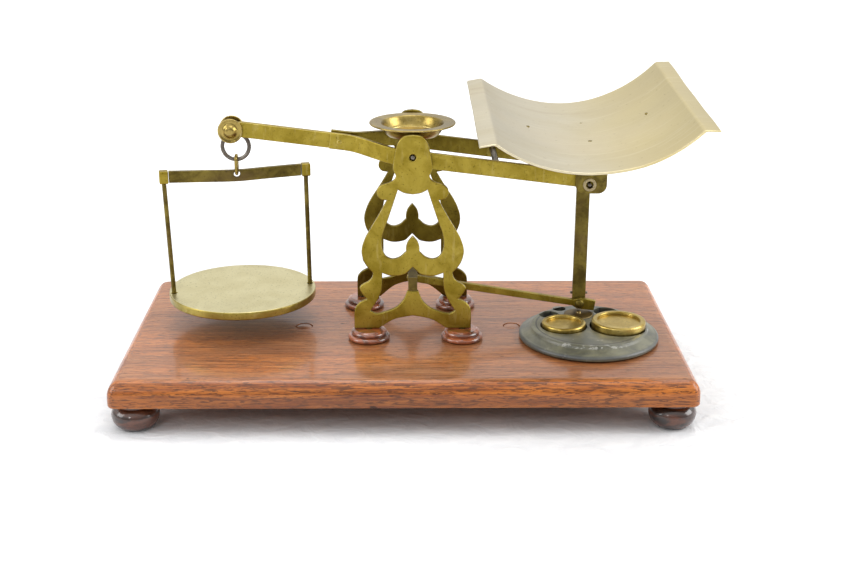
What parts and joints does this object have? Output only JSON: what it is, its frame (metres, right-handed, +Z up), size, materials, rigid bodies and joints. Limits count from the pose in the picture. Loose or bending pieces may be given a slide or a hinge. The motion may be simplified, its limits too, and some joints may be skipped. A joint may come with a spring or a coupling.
{
  "type": "letter scale",
  "caption": "Balance for letters: a tilting beam with a hanging load plate, a curved letter tray on a linked stay, loose dish and brass weights on a footed board.",
  "frame": {"origin": "on the floor under the middle of the board", "axes": "+X towards the letter tray, +Y to the back, +Z up"},
  "size_m": [0.3309, 0.178, 0.178],
  "materials": {
    "mahogany": "waxed, worn pinkish on top, orange-brown on the edges",
    "dark_wood": "turned and polished, glossy",
    "ebonised_wood": "ebonised, worn satin",
    "brass": "aged olive-gold, lightly polished",
    "old_brass": "dark brown patina",
    "pale_brass": "pale, worn, satin",
    "steel": "darkened steel"
  },
  "bodies": {
    "stand": {"base_board": "mahogany", "bun_foot_front_left": "dark_wood", "bun_foot_front_right": "dark_wood", "bun_foot_rear_left": "dark_wood", "bun_foot_rear_right": "dark_wood", "pillar_foot_front_left": "dark_wood", "pillar_foot_front_right": "dark_wood", "pillar_foot_rear_left": "dark_wood", "pillar_foot_rear_right": "dark_wood", "frame_stud_front_left": "old_brass", "frame_stud_front_right": "old_brass", "frame_stud_rear_left": "old_brass", "frame_stud_rear_right": "old_brass", "front_frame": "brass", "rear_frame": "brass", "stretcher": "old_brass", "link_pivot_screw": "steel", "dish_bridge": "old_brass", "weight_block": "ebonised_wood", "weight_small": "old_brass", "screw_plug_left": "mahogany", "screw_plug_right": "mahogany"},
    "beam": {"front_side_bar": "brass", "rear_side_bar": "brass", "beam_arm": "brass", "fork_rivet": "brass", "cross_rod": "steel", "fulcrum_arbor": "steel", "tray_pivot_pin_front": "steel", "tray_pivot_pin_rear": "steel", "knob_cap": "brass", "knob_stud": "brass"},
    "tray_stay": {"tray_carrier": "old_brass", "stay": "old_brass", "stay_cross_pin": "steel", "letter_tray": "pale_brass", "tray_strap": "old_brass", "tray_rivet_left": "brass", "tray_rivet_right": "brass", "tray_rivet_front": "brass", "tray_rivet_rear": "brass"},
    "link": {"check_link": "old_brass", "link_end_rivet": "old_brass"},
    "shackle_ring": {"shackle": "steel"},
    "hook": {"hook_link": "brass"},
    "pan": {"stirrup_bar": "old_brass", "stirrup_cap_left": "brass", "stirrup_cap_right": "brass", "stirrup_rod_left": "old_brass", "stirrup_rod_right": "old_brass", "load_plate": "pale_brass"},
    "large_weight": {"weight_large": "brass"},
    "medium_weight": {"weight_medium": "brass"},
    "dish": {"centre_dish": "pale_brass"}
  },
  "joints": [
    {"name": "beam_tilt", "type": "hinge", "parent": "stand", "child": "beam", "pos_m": [0.0049, 0.007, 0.142], "axis": [0, -1, 0], "range_deg": [0, 7.1]},
    {"name": "tray_level", "type": "hinge", "parent": "beam", "child": "tray_stay", "pos_m": [0.1068, 0.007, 0.1255], "axis": [0, -1, 0], "range_deg": [-7.1, 0]},
    {"name": "link_tilt", "type": "hinge", "parent": "stand", "child": "link", "pos_m": [0.0049, 0.0037, 0.0608], "axis": [0, -1, 0], "range_deg": [0, 7.1]},
    {"name": "shackle_plumb", "type": "hinge", "parent": "beam", "child": "shackle_ring", "pos_m": [-0.1017, 0.0109, 0.1515], "axis": [0, -1, 0], "range_deg": [-7.1, 0]},
    {"name": "hook_rock", "type": "hinge", "parent": "shackle_ring", "child": "hook", "pos_m": [-0.0996, 0.0109, 0.134], "axis": [1, 0, 0], "range_deg": [-2, 2]},
    {"name": "pan_swing", "type": "hinge", "parent": "hook", "child": "pan", "pos_m": [-0.0996, 0.0109, 0.12415], "axis": [0, 1, 0], "range_deg": [-2.5, 2.5]},
    {"name": "large_weight_lift", "type": "slide", "parent": "stand", "child": "large_weight", "axis": [0, 0, 1], "range_m": [0, 0.025]},
    {"name": "medium_weight_lift", "type": "slide", "parent": "stand", "child": "medium_weight", "axis": [0, 0, 1], "range_m": [0, 0.025]},
    {"name": "dish_lift", "type": "slide", "parent": "stand", "child": "dish", "axis": [0, 0, 1], "range_m": [0, 0.03]}
  ],
  "couplings": [
    {"joint": "tray_level", "follows": "beam_tilt", "ratio": -1},
    {"joint": "link_tilt", "follows": "beam_tilt", "ratio": 1},
    {"joint": "shackle_plumb", "follows": "beam_tilt", "ratio": -1}
  ]
}
